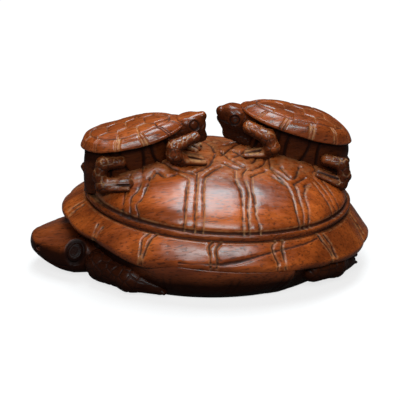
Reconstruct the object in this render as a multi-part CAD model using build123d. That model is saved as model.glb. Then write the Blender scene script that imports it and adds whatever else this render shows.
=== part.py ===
from build123d import *
import math
import os

# A carved wooden turtle that carries two young turtles on its shell.
# Millimetres, +Z up, head towards -X, the big turtle's left side towards -Y.
# The origin is the middle of the flat belly face that the carving rests on.

# Big turtle's upper shell. Heights are from the middle of the bead.
dome_length = 46.0
dome_width = 36.8
dome_rise = 7.9
bead_radius = 0.55
skirt_flare_ends = 4.2
skirt_flare_sides = 2.28
skirt_drop = 5.5
skirt_lip = 1.1
bead_height = 13.2
shell_tilt_angle = 5.0
shell_shift = 1.0

# Big turtle's belly block
belly_length = 41.0
belly_width = 30.4
belly_end_inset = 4.4
bridge_inset = 0.15

# Big turtle's head, from the neck to the snout
head_reach = 6.1
head_length = 13.4
head_width = 15.6
head_height = 8.4
head_clearance = 0.2
head_sideways = -1.6
brow_height = 6.9
brow_slope = 0.3
brow_fall = 0.2
neck_tenon_radius = 2.2
neck_tenon_depth = 4.0

# Big turtle's legs and tail
foreleg_radius = 3.0
foreleg_length = 10.5
foreleg_inset = 2.6
hind_leg_radius = 2.3
hind_leg_length = 6.4
hind_leg_lift = 1.4
hind_leg_inset = 4.6
leg_tenon_radius = 1.3
leg_tenon_depth = 3.0
tail_radius = 1.5
tail_length = 4.4

# Big turtle's eyes
eye_radius = 1.5
eye_depth = 1.2
eye_bulge = 0.45
eye_back = 8.6
eye_height = 6.1

# Seams cut between the plates on the big turtle's dome
seam_radius = 0.22
seam_pitch = 1.5
seam_top = 6.8

# Dowels between the big turtle's shell and belly block
shell_dowel_radius = 1.25
shell_dowel_depth = 3.5
shell_dowel_spread_x = 10.0
shell_dowel_spread_y = 7.5

# Young turtles: sizes that both share
young_shell_rise = 1.4
young_skirt_flare = 0.7
young_skirt_drop = 1.5
young_skirt_lip = 0.5
young_body_front_inset = 2.4
young_body_back_inset = 0.7
young_body_side_inset = 1.3
young_body_lean = 1.3
young_head_reach = 3.6
young_head_length = 6.6
young_head_width = 4.2
young_head_height = 4.2
young_neck_tenon_radius = 0.8
young_neck_tenon_depth = 1.4
young_leg_radius = 1.35
young_leg_tenon_radius = 0.55
young_leg_tenon_depth = 1.2
young_tail_radius = 0.7
young_tail_length = 1.7
young_eye_radius = 0.75
young_eye_depth = 0.6
young_eye_bulge = 0.25
young_dowel_radius = 0.8
young_dowel_spread = 2.8
young_dowel_into_shell = 1.4
young_dowel_into_dome = 3.0

# Young turtle at the big turtle's head end
front_young_length = 19.4
front_young_width = 10.6
front_young_seat_x = -14.3
front_young_seat_y = -2.6
front_young_stand_height = 5.1
front_young_heading_angle = 6.0
front_young_nose_up_angle = 20.0
front_young_roll_angle = 2.0
front_young_elbow_back = 2.4
front_young_head_drop = 0.9
front_young_eye_back = 2.3
front_young_eye_lift = 0.6

# Young turtle at the big turtle's tail end
rear_young_length = 21.0
rear_young_width = 10.6
rear_young_seat_x = 11.1
rear_young_seat_y = 4.0
rear_young_stand_height = 6.3
rear_young_heading_angle = 184.0
rear_young_nose_up_angle = 15.0
rear_young_roll_angle = 0.0
rear_young_elbow_back = 4.0
rear_young_head_drop = 1.9
rear_young_eye_back = 3.1
rear_young_eye_lift = 0.1

# Joinery
glue_gap = 0.08
peg_fit = 0.04

shell_place = Location((shell_shift, 0, bead_height), (0, shell_tilt_angle, 0))
ON_TOP = (Align.CENTER, Align.CENTER, Align.MIN)
BELOW = (Align.CENTER, Align.CENTER, Align.MAX)
LEFT_AND_RIGHT = {"left": -1, "right": 1}


def biggest(shape):
    """The largest solid of a shape, without the crumbs that a cut can leave."""
    return max(shape.solids(), key=lambda solid: solid.volume)


def young_upper_shell(length, width, rise, flare, drop, lip, grow=0.0):
    """A domed shell with a flared skirt. Its middle is at the height where dome and skirt meet."""
    dome_r = length / 2 + grow
    rim_r = dome_r + flare
    underside = -drop - grow
    top = rise + grow
    outline = [
        Line((0, underside), (rim_r - lip, underside)),
        RadiusArc((rim_r - lip, underside), (rim_r, underside + lip), -lip),
        Line((rim_r, underside + lip), (dome_r, 0)),
        EllipticalCenterArc((0, 0), dome_r, top, start_angle=0, arc_size=90),
        Line((0, top), (0, underside)),
    ]
    half = Plane.XZ * make_face(outline)
    return scale(revolve(half, Axis.Z), by=(1, (width / 2 + grow) / dome_r, 1))


def ellipse_stack(levels):
    """A solid lofted through level ellipses: height, half length, half width and middle along X."""
    return loft([Plane((x, 0, z)) * Ellipse(a, b) for z, a, b, x in levels])


def capsule(start, end, start_radius, end_radius):
    """A round bar with ball ends, which tapers from one radius to the other."""
    start, end = Vector(start), Vector(end)
    length = (end - start).length
    lean = (start_radius - end_radius) / length
    rise = math.sqrt(1 - lean**2)
    near = (start_radius * rise, start_radius * lean)
    far = (end_radius * rise, length + end_radius * lean)
    outline = [
        ThreePointArc((0, -start_radius), _on_ball(start_radius, 0, lean), near),
        Line(near, far),
        ThreePointArc(far, _on_ball(end_radius, length, lean, to_top=True), (0, length + end_radius)),
        Line((0, length + end_radius), (0, -start_radius)),
    ]
    bar = revolve(Plane.XZ * make_face(outline), Axis.Z)
    return Plane(origin=start, z_dir=end - start) * bar


def _on_ball(radius, centre, lean, to_top=False):
    """A point midway along a capsule's ball end, in the half section."""
    edge = math.asin(lean)
    angle = (edge + math.pi / 2) / 2 if to_top else (edge - math.pi / 2) / 2
    return radius * math.cos(angle), centre + radius * math.sin(angle)


def peg(start, end, radius):
    """A plain round bar from one point to another."""
    start, end = Vector(start), Vector(end)
    return Plane(origin=start, z_dir=end - start) * Cylinder(radius, (end - start).length, align=ON_TOP)


def head_form(tip, length, width, height, middle):
    """A turtle's head along X, with its snout at tip and its neck towards +X."""
    stations = [
        (0.00, 0.24, 0.32, 0.07),
        (0.06, 0.42, 0.54, 0.06),
        (0.24, 0.70, 0.82, 0.03),
        (0.58, 1.00, 1.00, 0.00),
        (1.00, 0.90, 0.92, 0.00),
    ]
    sections = []
    for along, wide, high, lift in stations:
        place = Plane((tip + along * length, 0, middle + lift * height), x_dir=(0, 1, 0), z_dir=(1, 0, 0))
        sections.append(place * Ellipse(wide * width / 2, high * height / 2))
    return loft(sections)


def inlaid_eye(radius, depth, bulge):
    """An eye that stands on XY with its peg below, as a domed cap on a round peg."""
    cap_radius = (radius**2 + bulge**2) / (2 * bulge)
    outline = [
        Line((0, -depth), (radius, -depth)),
        Line((radius, -depth), (radius, 0)),
        RadiusArc((radius, 0), (0, bulge), -cap_radius),
        Line((0, bulge), (0, -depth)),
    ]
    return revolve(Plane.XZ * make_face(outline), Axis.Z)


def set_eye(head, start, outward, radius, depth, bulge):
    """Cuts an eye socket where a line from inside meets the head. Returns head, eye and room for the eye."""
    outward = Vector(outward)
    hits = head.find_intersection_points(Axis(start, outward))
    point, normal = max(hits, key=lambda hit: outward.dot(hit[0]))
    if outward.dot(normal) < 0:
        normal = -normal
    seat = Plane(origin=point, z_dir=normal)
    socket = seat * Cylinder(radius + peg_fit, depth, align=BELOW)
    mouth = seat * Cylinder(radius + peg_fit, depth, align=ON_TOP)
    eye = seat * inlaid_eye(radius, depth - peg_fit, bulge)
    return head - socket - mouth, eye, seat * inlaid_eye(radius + glue_gap, depth, bulge + glue_gap)


# Big turtle's upper shell and what is left under it

rim_half_length = dome_length / 2 + skirt_flare_ends
rim_half_width = dome_width / 2 + skirt_flare_sides


def mother_shell(grow=0.0):
    """The dome with the bead around its foot, and the skirt that flares from the bead to the rim."""
    dome_r = dome_length / 2 + grow
    top = dome_rise + grow
    foot_angle = math.degrees(math.asin(bead_radius / top))
    dome_foot = dome_r * math.cos(math.radians(foot_angle))
    outline = [
        Line((0, -bead_radius), (dome_r, -bead_radius)),
        ThreePointArc((dome_r, -bead_radius), (dome_r + bead_radius, 0), (dome_r, bead_radius)),
        Line((dome_r, bead_radius), (dome_foot, bead_radius)),
        EllipticalCenterArc((0, 0), dome_r, top, start_angle=foot_angle, arc_size=90 - foot_angle),
        Line((0, top), (0, -bead_radius)),
    ]
    dome = revolve(Plane.XZ * make_face(outline), Axis.Z)
    dome = scale(dome, by=(1, (dome_width / 2 + grow) / dome_r, 1))
    underside = -skirt_drop - grow
    rim = Ellipse(rim_half_length + grow, rim_half_width + grow)
    foot = Ellipse(dome_r, dome_width / 2 + grow)
    skirt = loft([Pos(0, 0, underside + skirt_lip) * rim, Pos(0, 0, -bead_radius) * foot])
    lip = Pos(0, 0, underside) * extrude(rim, skirt_lip)
    lip = fillet(lip.edges().sort_by(Axis.Z)[0], 0.9 * skirt_lip)
    return dome + skirt + lip


seat_block = Box(4 * dome_length, 4 * dome_width, 4 * bead_height, align=ON_TOP)
above_seat = shell_place * Pos(0, 0, -skirt_drop) * seat_block
near_seat = Pos(0, 0, -glue_gap) * above_seat


def belly_halves(share):
    """Half the belly block's length and width, from its foot (0) to its seat under the shell (1)."""
    foot_a, foot_b = belly_length / 2, belly_width / 2
    seat_a, seat_b = rim_half_length - belly_end_inset, rim_half_width - bridge_inset
    return foot_a + share * (seat_a - foot_a), foot_b + share * (seat_b - foot_b)


BELLY_LEVELS = ((0.0, 0.0), (0.12, 0.37), (0.32, 0.75), (0.58, 0.985), (1.0, 1.0))


def belly_at(height):
    """Half the belly block's length and width at a height."""
    up = height / bead_height
    for (low, low_share), (high, high_share) in zip(BELLY_LEVELS, BELLY_LEVELS[1:]):
        if up <= high:
            break
    return belly_halves(low_share + (up - low) / (high - low) * (high_share - low_share))


def belly_block(grow=0.0):
    """The belly block's outside, up past the seat of the upper shell."""
    levels = []
    for up, share in BELLY_LEVELS:
        a, b = belly_halves(share)
        levels.append((up * bead_height - (grow if up == 0 else 0), a + grow, b + grow, 0))
    return ellipse_stack(levels)


belly_cut = belly_block(glue_gap)


def under_shell(shape):
    """What of a shape is clear of the belly block and of the upper shell's underside."""
    return biggest(shape - belly_cut - near_seat)


mother_plastron = belly_block() - above_seat
mother_carapace = mother_shell()

# Big turtle's head, with its neck tenon in the belly block
snout = shell_shift - rim_half_length * math.cos(math.radians(shell_tilt_angle)) - head_reach
head_middle = head_height / 2 + head_clearance


def head_block(grow=0.0):
    """The big turtle's head before it is fitted to the belly block, with a flat brow cut on each side."""
    form = head_form(
        snout - grow, head_length + 2 * grow, head_width + 2 * grow, head_height + 2 * grow, head_middle
    )
    for side in (-1, 1):
        brow = Vector(-brow_slope, side * brow_fall, 1).normalized()
        origin = Vector(snout + 0.08 * head_length, 0, brow_height) + brow * grow
        above = Box(4 * head_length, 4 * head_width, head_height, align=ON_TOP)
        form = form - Plane(origin=origin, z_dir=brow) * above
    return Pos(0, head_sideways, 0) * form


head_cut = head_block(glue_gap)
mother_head = under_shell(head_block())
neck_in = -belly_at(head_middle)[0] + neck_tenon_depth
neck_out = snout + 0.6 * head_length
neck_start = Vector(neck_out, head_sideways, head_middle)
neck_end = Vector(neck_in, head_sideways, head_middle)
mother_head += peg(neck_start, neck_end, neck_tenon_radius)
mother_plastron -= peg(neck_start, neck_end + Vector(peg_fit, 0, 0), neck_tenon_radius + peg_fit)
mother_eyes, eye_cuts = {}, []
eye_start = (snout + eye_back, head_sideways, eye_height)
for side_name, side in LEFT_AND_RIGHT.items():
    mother_head, mother_eyes[side_name], eye_cut = set_eye(
        mother_head, eye_start, (0, side, 0), eye_radius, eye_depth, eye_bulge
    )
    eye_cuts.append(eye_cut)


# Big turtle's legs and tail

def beside_belly(x, height, outward):
    """A point beside the belly block on its right, at x and a height, moved outward."""
    half_length, half_width = belly_at(height)
    return Vector(x, half_width * math.sqrt(max(1 - (x / half_length) ** 2, 0.05)) + outward, height)


def mother_leg(shoulder_x, toe_x, radius, lift):
    """A right leg folded along the belly block, and the mortise for its tenon."""
    shoulder = beside_belly(shoulder_x, 1.25 * radius + lift, 0.3 * radius)
    ankle = beside_belly((shoulder_x + toe_x) / 2, radius + lift, 0.05 * radius)
    toe = beside_belly(toe_x, 0.62 * radius + lift, -0.05 * radius)
    floor = Pos(0, 0, glue_gap) * Box(4 * dome_length, 4 * dome_width, bead_height, align=BELOW)
    thigh = under_shell(capsule(shoulder, ankle, radius, 0.86 * radius) - floor)
    foot = under_shell(capsule(ankle, toe, 0.84 * radius, 0.5 * radius) - floor)
    leg = thigh + foot
    inward = (Vector(0.45 * shoulder_x, 0, shoulder.Z) - shoulder).normalized()
    into_belly = leg_tenon_depth + 0.9 * radius
    tenon = peg(shoulder, shoulder + inward * into_belly, leg_tenon_radius)
    mortise = peg(shoulder, shoulder + inward * (into_belly + peg_fit), leg_tenon_radius + peg_fit)
    leg += tenon
    for blocked in (head_cut, *eye_cuts):
        leg = leg - blocked - mirror(blocked, Plane.XZ)
    return biggest(leg), mortise


mother_legs = {}
shoulder_x = foreleg_inset - belly_at(1.25 * foreleg_radius)[0]
hip_x = belly_at(1.25 * hind_leg_radius + hind_leg_lift)[0] - hind_leg_inset
foreleg, foreleg_mortise = mother_leg(shoulder_x, shoulder_x + foreleg_length, foreleg_radius, 0)
hind_leg, hind_leg_mortise = mother_leg(hip_x, hip_x + hind_leg_length, hind_leg_radius, hind_leg_lift)
for leg_name, leg, mortise in (
    ("foreleg", foreleg, foreleg_mortise),
    ("hind_leg", hind_leg, hind_leg_mortise),
):
    mother_legs[f"mother_right_{leg_name}"] = leg
    mother_legs[f"mother_left_{leg_name}"] = mirror(leg, Plane.XZ)
    mother_plastron = mother_plastron - mortise - mirror(mortise, Plane.XZ)

tail_height = 1.9 * tail_radius
tail_root = Vector(belly_at(tail_height)[0] - 0.3 * tail_radius, 0, tail_height)
tail_tip = tail_root + Vector(0.9, -0.35, -0.15).normalized() * tail_length
mother_tail = under_shell(capsule(tail_root, tail_tip, tail_radius, 0.35 * tail_radius))
tail_peg_start = tail_root + Vector(1.2 * tail_radius, 0, 0)
tail_peg_end = tail_root - Vector(leg_tenon_depth, 0, 0)
mother_tail += peg(tail_peg_start, tail_peg_end, 0.6 * tail_radius)
mother_plastron -= peg(tail_peg_start, tail_peg_end - Vector(peg_fit, 0, 0), 0.6 * tail_radius + peg_fit)

# Dowels that hold the big turtle's shell on the belly block
dowel_bars, dowel_holes = [], []
for x in (-shell_dowel_spread_x, shell_dowel_spread_x):
    for y in (-shell_dowel_spread_y, shell_dowel_spread_y):
        middle = shell_place * Pos(x, y, -skirt_drop)
        dowel_bars.append(middle * Cylinder(shell_dowel_radius, 2 * shell_dowel_depth))
        dowel_holes.append(middle * Cylinder(shell_dowel_radius + peg_fit, 2 * (shell_dowel_depth + peg_fit)))
for hole in dowel_holes:
    mother_plastron -= hole
    mother_carapace -= shell_place.inverse() * hole


# The dome's surface and the seams cut in it, in the frame of the big turtle's shell

def on_dome(point):
    """The point of the dome on the line from the dome's centre through a point."""
    reach = math.sqrt(
        (point.X / (dome_length / 2)) ** 2 + (point.Y / (dome_width / 2)) ** 2 + (point.Z / dome_rise) ** 2
    )
    return Vector(point.X / reach, point.Y / reach, point.Z / reach)


def dome_height(x, y):
    return dome_rise * math.sqrt(1 - (x / (dome_length / 2)) ** 2 - (y / (dome_width / 2)) ** 2)


def dome_edge(x):
    """Half the dome's width at x, just inside the bead."""
    return 0.985 * dome_width / 2 * math.sqrt(1 - (x / (dome_length / 2)) ** 2)


def seam(top_x, foot_x, share):
    """A round cutter along a seam that runs down the dome's right side, from near its ridge to the bead."""
    foot_y = dome_edge(foot_x)
    points = []
    for step in (0.0, 0.3, 0.6, 0.85, 1.0):
        x = top_x + step * (foot_x - top_x)
        y = share * seam_top + step * (foot_y - share * seam_top)
        points.append(Vector(x, y, dome_height(x, y)))
    path = Spline(points)
    return sweep(Plane(origin=path @ 0, z_dir=path % 0) * Circle(seam_radius), path=path)


for top_x, foot_x, share in (
    (-13.9, -15.0, 1.0), (-4.4, -4.3, 1.0), (3.9, 5.2, 1.0), (12.2, 14.6, 0.9), (16.2, 19.6, 0.4)
):
    for line in (-1, 0, 1):
        aside = line * seam_pitch
        cutter = seam(top_x + aside, foot_x + 0.8 * aside, share)
        mother_carapace = mother_carapace - cutter - mirror(cutter, Plane.XZ)


dome_cut = mother_shell(glue_gap)


# Young turtles, in the same frame

def young_turtle(
    length, width, seat_x, seat_y, stand, heading, pitch, roll, elbow_back, head_drop, eye_back, eye_lift
):
    """One young turtle, head towards its own +X. Returns its pieces and the holes for its dowels."""
    turn = Rot(0, 0, heading) * Rot(0, -pitch, 0) * Rot(roll, 0, 0)
    up = (turn * Pos(0, 0, 1)).position
    place = Pos(Vector(seat_x, seat_y, dome_height(seat_x, seat_y)) + up * stand) * turn

    def at(x, y, z):
        return (place * Pos(x, y, z)).position

    shell_length = length - 2 * young_skirt_flare
    shell_width = width * shell_length / length
    body_front = length / 2 - young_body_front_inset
    body_back = -length / 2 + young_body_back_inset
    half_body = (body_front - body_back) / 2
    body_middle = (body_front + body_back) / 2
    half_side = width / 2 - young_body_side_inset
    nose = length / 2 + young_head_reach

    def young_shell(grow=0.0):
        form = young_upper_shell(
            shell_length, shell_width, young_shell_rise, young_skirt_flare,
            young_skirt_drop, young_skirt_lip, grow,
        )
        return place * Pos(0, 0, young_skirt_drop) * form

    def young_body(grow=0.0):
        levels = []
        for down, side_share in ((0.0, 1.0), (0.3, 1.02), (1.0, 0.95), (2.4, 0.95)):
            middle = body_middle - down * young_body_lean
            levels.append((-down * stand, half_body + grow, side_share * half_side + grow, middle))
        return place * ellipse_stack(levels)

    def young_head(grow=0.0):
        form = head_form(
            -nose - grow, young_head_length + grow, young_head_width + 2 * grow,
            young_head_height + 2 * grow, -head_drop,
        )
        return place * Rot(0, 0, 180) * form

    shell_cut = young_shell(glue_gap)
    body_cut = young_body(glue_gap)
    head_cut = young_head(glue_gap)

    def clear(shape):
        return biggest(shape - dome_cut - body_cut - shell_cut)

    carapace = young_shell()
    body = biggest(young_body() - dome_cut)
    pieces = {}

    def join(piece, start, end, radius):
        """Gives a piece a tenon from start to end, and the body the mortise for it."""
        nonlocal body
        start, end = at(*start), at(*end)
        reach = (end - start).normalized() * peg_fit
        body = body - peg(start, end + reach, radius + peg_fit)
        return piece + peg(start, end, radius)

    head = clear(young_head())
    neck_x = body_front - 0.3 * young_body_lean - young_neck_tenon_depth
    neck = (nose - 0.62 * young_head_length, 0, -head_drop)
    head = join(head, neck, (neck_x, 0, -head_drop), young_neck_tenon_radius)
    for side_name, side in (("left", 1), ("right", -1)):
        head, pieces[f"{side_name}_eye"], _ = set_eye(
            head, at(nose - eye_back, 0, eye_lift - head_drop), at(0, side, 0) - at(0, 0, 0),
            young_eye_radius, young_eye_depth, young_eye_bulge,
        )
    pieces["head"] = head

    r = young_leg_radius
    for side_name, side in (("left", 1), ("right", -1)):
        shoulder_y = 0.72 * half_side
        shoulder_z = -0.48 * stand
        shoulder = (body_front + 0.65 * r, side * shoulder_y, shoulder_z)
        elbow = at(body_front - elbow_back, side * (half_side + 0.6 * r), -0.68 * stand)
        hand = on_dome(at(body_front + r, side * (half_side + 0.65 * r), -1.2 * stand))
        leg = capsule(at(*shoulder), elbow, r, 0.95 * r) + capsule(elbow, hand, 0.93 * r, 0.8 * r)
        leg = biggest(clear(leg) - head_cut)
        wall = body_middle - 0.48 * young_body_lean + half_body * math.sqrt(1 - (shoulder_y / half_side) ** 2)
        tenon_end = (wall - young_leg_tenon_depth, side * shoulder_y, shoulder_z)
        pieces[f"{side_name}_foreleg"] = join(leg, shoulder, tenon_end, young_leg_tenon_radius)

        hip_x = body_middle - 0.45 * half_body
        hip_z = -0.55 * stand
        hip = (hip_x, side * (half_side + 0.08 * r), hip_z)
        knee = at(body_back + 0.2 * r, side * (half_side + 0.95 * r), -0.75 * stand)
        foot = on_dome(at(body_back + 2.2 * r, side * (half_side + 1.5 * r), -1.3 * stand))
        leg = capsule(at(*hip), knee, r, 0.95 * r) + capsule(knee, foot, 0.93 * r, 0.8 * r)
        from_middle = hip_x - body_middle + 0.55 * young_body_lean
        wall = half_side * math.sqrt(1 - (from_middle / half_body) ** 2)
        tenon_end = (hip_x, side * (wall - young_leg_tenon_depth), hip_z)
        pieces[f"{side_name}_hind_leg"] = join(clear(leg), hip, tenon_end, young_leg_tenon_radius)

    tail_x = body_back - 0.5 * young_body_lean
    tail_z = -0.5 * stand
    tail_tip = at(tail_x - 0.8 * young_tail_length, 0, tail_z - 0.6 * young_tail_length)
    tail = clear(capsule(at(tail_x, 0, tail_z), tail_tip, young_tail_radius, 0.5 * young_tail_radius))
    tail_peg = (tail_x - young_tail_radius, 0, tail_z)
    tail_end = (tail_x + young_leg_tenon_depth, 0, tail_z)
    pieces["tail"] = join(tail, tail_peg, tail_end, 0.6 * young_tail_radius)

    bars, holes = [], []
    for x in (-young_dowel_spread, young_dowel_spread):
        top, foot = young_dowel_into_shell, -stand - young_dowel_into_dome
        bars.append(peg(at(x, 0, foot), at(x, 0, top), young_dowel_radius))
        holes.append(peg(at(x, 0, foot - peg_fit), at(x, 0, top + peg_fit), young_dowel_radius + peg_fit))
    for hole in holes:
        carapace = carapace - hole
        body = body - hole
    pieces["carapace"] = carapace
    pieces["body"] = body
    pieces["dowels"] = Compound(bars)
    return pieces, holes


front_young, front_young_holes = young_turtle(
    front_young_length, front_young_width, front_young_seat_x, front_young_seat_y,
    front_young_stand_height, front_young_heading_angle, front_young_nose_up_angle, front_young_roll_angle,
    front_young_elbow_back, front_young_head_drop, front_young_eye_back, front_young_eye_lift,
)
rear_young, rear_young_holes = young_turtle(
    rear_young_length, rear_young_width, rear_young_seat_x, rear_young_seat_y,
    rear_young_stand_height, rear_young_heading_angle, rear_young_nose_up_angle, rear_young_roll_angle,
    rear_young_elbow_back, rear_young_head_drop, rear_young_eye_back, rear_young_eye_lift,
)
for hole in front_young_holes + rear_young_holes:
    mother_carapace -= hole

# Each piece goes to a file of its own
nodes = {
    "mother_carapace": shell_place * mother_carapace,
    "mother_plastron": mother_plastron,
    "mother_head": mother_head,
    "mother_tail": mother_tail,
    "mother_left_eye": mother_eyes["left"],
    "mother_right_eye": mother_eyes["right"],
    "shell_dowels": Compound(dowel_bars),
}
nodes.update(mother_legs)
for young_name, pieces in (("front_young", front_young), ("rear_young", rear_young)):
    for piece_name, piece in pieces.items():
        nodes[f"{young_name}_{piece_name}"] = shell_place * piece

os.makedirs("parts", exist_ok=True)
for name, shape in nodes.items():
    export_step(shape, f"parts/{name}.step")
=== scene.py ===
import math

import bpy
import numpy as np
import openvdb
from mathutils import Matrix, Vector


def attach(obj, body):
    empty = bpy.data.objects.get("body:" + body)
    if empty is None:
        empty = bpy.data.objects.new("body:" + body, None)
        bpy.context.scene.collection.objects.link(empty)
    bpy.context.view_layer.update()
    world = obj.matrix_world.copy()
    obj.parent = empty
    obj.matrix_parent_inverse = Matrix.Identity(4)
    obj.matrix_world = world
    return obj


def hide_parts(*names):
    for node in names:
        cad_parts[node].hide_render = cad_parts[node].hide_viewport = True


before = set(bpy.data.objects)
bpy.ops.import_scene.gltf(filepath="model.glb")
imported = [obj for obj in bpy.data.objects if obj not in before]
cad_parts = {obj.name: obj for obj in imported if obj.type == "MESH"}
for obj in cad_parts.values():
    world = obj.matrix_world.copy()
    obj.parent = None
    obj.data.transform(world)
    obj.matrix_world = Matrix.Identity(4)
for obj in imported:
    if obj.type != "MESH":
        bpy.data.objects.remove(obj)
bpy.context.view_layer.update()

# A millimetre in metres, a metre in millimetres, and a distance beyond everything
MM, METRE, FAR = 0.001, 1000, 99.0

# Sizes of the carving in millimetres, as in the solids
DOME_A, DOME_B, DOME_H = 23.0, 18.4, 7.9
BEAD = 0.55
FLARE_ENDS, FLARE_SIDES, DROP, LIP = 4.2, 2.28, 5.5, 1.1
BEAD_HEIGHT, TILT, SHIFT = 13.2, 5.0, 1.0
RIM_A, RIM_B = DOME_A + FLARE_ENDS, DOME_B + FLARE_SIDES
BELLY_A, BELLY_B = 20.5, 15.2
BELLY_END_INSET, BRIDGE_INSET = 4.4, 0.15
BELLY_TOP_A, BELLY_TOP_B = RIM_A - BELLY_END_INSET, RIM_B - BRIDGE_INSET
HEAD_REACH, HEAD_LENGTH, HEAD_WIDTH, HEAD_HEIGHT = 6.1, 13.4, 15.6, 8.4
SNOUT = SHIFT - RIM_A * math.cos(math.radians(TILT)) - HEAD_REACH
HEAD_Y, HEAD_Z = -1.6, 4.4
BROW_HEIGHT, BROW_SLOPE, BROW_FALL = 6.9, 0.3, 0.2
YOUNG_FLARE, YOUNG_DROP, YOUNG_LIP = 0.7, 1.5, 0.5
YOUNG_FRONT_INSET, YOUNG_BACK_INSET, YOUNG_SIDE_INSET = 2.4, 0.7, 1.3
YOUNG_LEAN, YOUNG_HEAD_REACH = 1.3, 3.6

# Carving that only the scene has: depths and widths of cuts and their dark stain, heights of swellings
LONG_CUT, LONG_CUT_WIDTH, LONG_CUT_STAIN = 0.15, 0.16, 0.15
SHORT_CUT, SHORT_CUT_WIDTH, SHORT_CUT_STAIN = 0.40, 0.28, 0.27
SKIRT_CUT, SKIRT_CUT_WIDTH, TROUGH = 0.24, 0.20, 0.36
FLANK_BULGE, FORELEG_LOBE, TAIL_LOBE = 0.14, 1.6, 0.6
YOUNG_CUT, YOUNG_CUT_WIDTH, YOUNG_SPOKE_WIDTH = 0.18, 0.13, 0.12
MOTHER_EYE = dict(radius=1.30, bulge=0.34, roundness=9, dull=1.0, tall=1.3, ahead=0.5)
YOUNG_EYE = dict(radius=0.72, bulge=0.34, roundness=2.2, dull=0.2)

# Fineness of the meshes: cells across each dome, and room around a carved form
DOME_CELLS, YOUNG_CELLS = 236, 180
CLAY_ROOM, YOUNG_LEG_ROOM = 0.8, 1.35
# The top of the belly lies this far inside the shell, so that no two faces share a plane
OVERLAP = 0.02

# Each young turtle: size, seat on the dome and attitude, then its head, shell and limbs in its own frame.
# A swell is where it lies from tail to nose, its width and its height.
YOUNG = {
    "front_young": dict(
        length=19.4, width=10.6, seat=(-14.3, -2.6), stand=5.1, heading=6.0, nose_up=20.0, roll=2.0,
        head_drop=0.9, snout_up=1.2, chin=(-1.7, -2.5), rise=0.95, swell=(-0.85, 0.45, 0.8),
        back_by=0.0, mound=0.9, engraved=1.0, rim_up=0.8, seed=3,
        arm=[(10.6, 2.9, -1.9), (6.6, 4.3, -2.0), (6.2, 4.5, -3.4), (7.3, 3.7, -5.1), (10.1, 2.6, -6.3)],
        arm_radii=(0.95, 1.32, 1.42, 1.2, 0.8),
        thigh=[(-3.1, 3.9, -2.1), (-6.1, 4.2, -1.3), (-7.4, 4.7, -3.1), (-7.1, 5.2, -5.0),
               (-3.4, 6.2, -5.5)],
        thigh_radii=(1.1, 1.25, 1.1, 1.45, 1.1)),
    "rear_young": dict(
        length=21.0, width=10.6, seat=(11.1, 4.0), stand=6.3, heading=184.0, nose_up=15.0, roll=0.0,
        head_drop=1.9, snout_up=0.35, chin=(-3.3, -3.2), rise=1.05, swell=(-0.42, 0.36, 0.65),
        back_by=0.7, mound=1.2, engraved=0.5, rim_up=0.0, seed=8,
        arm=[(8.3, 3.0, -1.9), (4.9, 4.3, -2.1), (3.4, 4.6, -3.7), (4.1, 3.9, -5.4), (6.5, 2.9, -6.2)],
        arm_radii=(1.25, 1.4, 1.35, 1.1, 0.78),
        thigh=[(-6.7, 4.0, -3.1), (-9.5, 4.3, -2.9), (-10.7, 4.7, -4.7), (-10.6, 4.9, -6.3),
               (-7.4, 4.2, -5.4)],
        thigh_radii=(1.1, 1.2, 1.12, 1.1, 0.9)),
}


# Small tools

def turn(axis, degrees):
    c, s = math.cos(math.radians(degrees)), math.sin(math.radians(degrees))
    m = np.eye(4)
    i, j = {"x": (1, 2), "y": (2, 0), "z": (0, 1)}[axis]
    m[i, i], m[i, j], m[j, i], m[j, j] = c, -s, s, c
    return m


def shift(x, y, z):
    m = np.eye(4)
    m[:3, 3] = x, y, z
    return m


def put(matrix, points):
    points = np.asarray(points, float)
    return points @ matrix[:3, :3].T + matrix[:3, 3]


def unit(v):
    return v / np.maximum(np.linalg.norm(v, axis=-1, keepdims=True), 1e-9)


def rise(x, start, span):
    """0 up to start, then evenly up to 1 over span."""
    return np.clip((x - start) / span, 0, 1)


def fall(x, end, span):
    """0 from end on, and evenly up to 1 over the span before it."""
    return np.clip((end - x) / span, 0, 1)


def ease(t):
    """Softens both ends of a run from 0 to 1."""
    return t * t * (3 - 2 * t)


def groove(distance, width):
    """1 on a line, fading to nearly 0 at twice the width."""
    return np.exp(-(distance / width) ** 2)


def angle_gap(a, b):
    """Degrees between two directions."""
    return np.abs((a - b + 180) % 360 - 180)


def smooth_random(seed, size, terms=28):
    """A smooth random field with features about size millimetres across, roughly -1 to 1."""
    rng = np.random.default_rng(seed)
    k = unit(rng.normal(size=(terms, 3))) * (2 * math.pi / size) * rng.uniform(0.5, 1.4, (terms, 1))
    phase = rng.uniform(0, 2 * math.pi, terms)
    return lambda p: np.sin(p @ k.T + phase).sum(1) * math.sqrt(0.6 / terms)


def curve(points, steps=6):
    """A smooth line through points."""
    p = np.asarray(points, float)
    p = np.vstack([2 * p[0] - p[1], p, 2 * p[-1] - p[-2]])
    out = []
    for i in range(1, len(p) - 2):
        for t in np.linspace(0, 1, steps, endpoint=False):
            a, b, c, d = p[i - 1], p[i], p[i + 1], p[i + 2]
            out.append(0.5 * (2 * b + (c - a) * t + (2 * a - 5 * b + 4 * c - d) * t**2
                              + (3 * b - a - 3 * c + d) * t**3))
    return np.array(out + [p[-2]])


def line_distance(points, line, room=1.5):
    """Distance of each point to a line, FAR for points that lie further than room from its box."""
    best = np.full(len(points), FAR)
    near = np.all((points > line.min(0) - room) & (points < line.max(0) + room), axis=1)
    p = points[near]
    d = np.full(len(p), FAR)
    for a, b in zip(line[:-1], line[1:]):
        ab = b - a
        t = np.clip((p - a) @ ab / max(ab @ ab, 1e-9), 0, 1)
        d = np.minimum(d, np.linalg.norm(p - a - t[:, None] * ab, axis=1))
    best[near] = d
    return best


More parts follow.
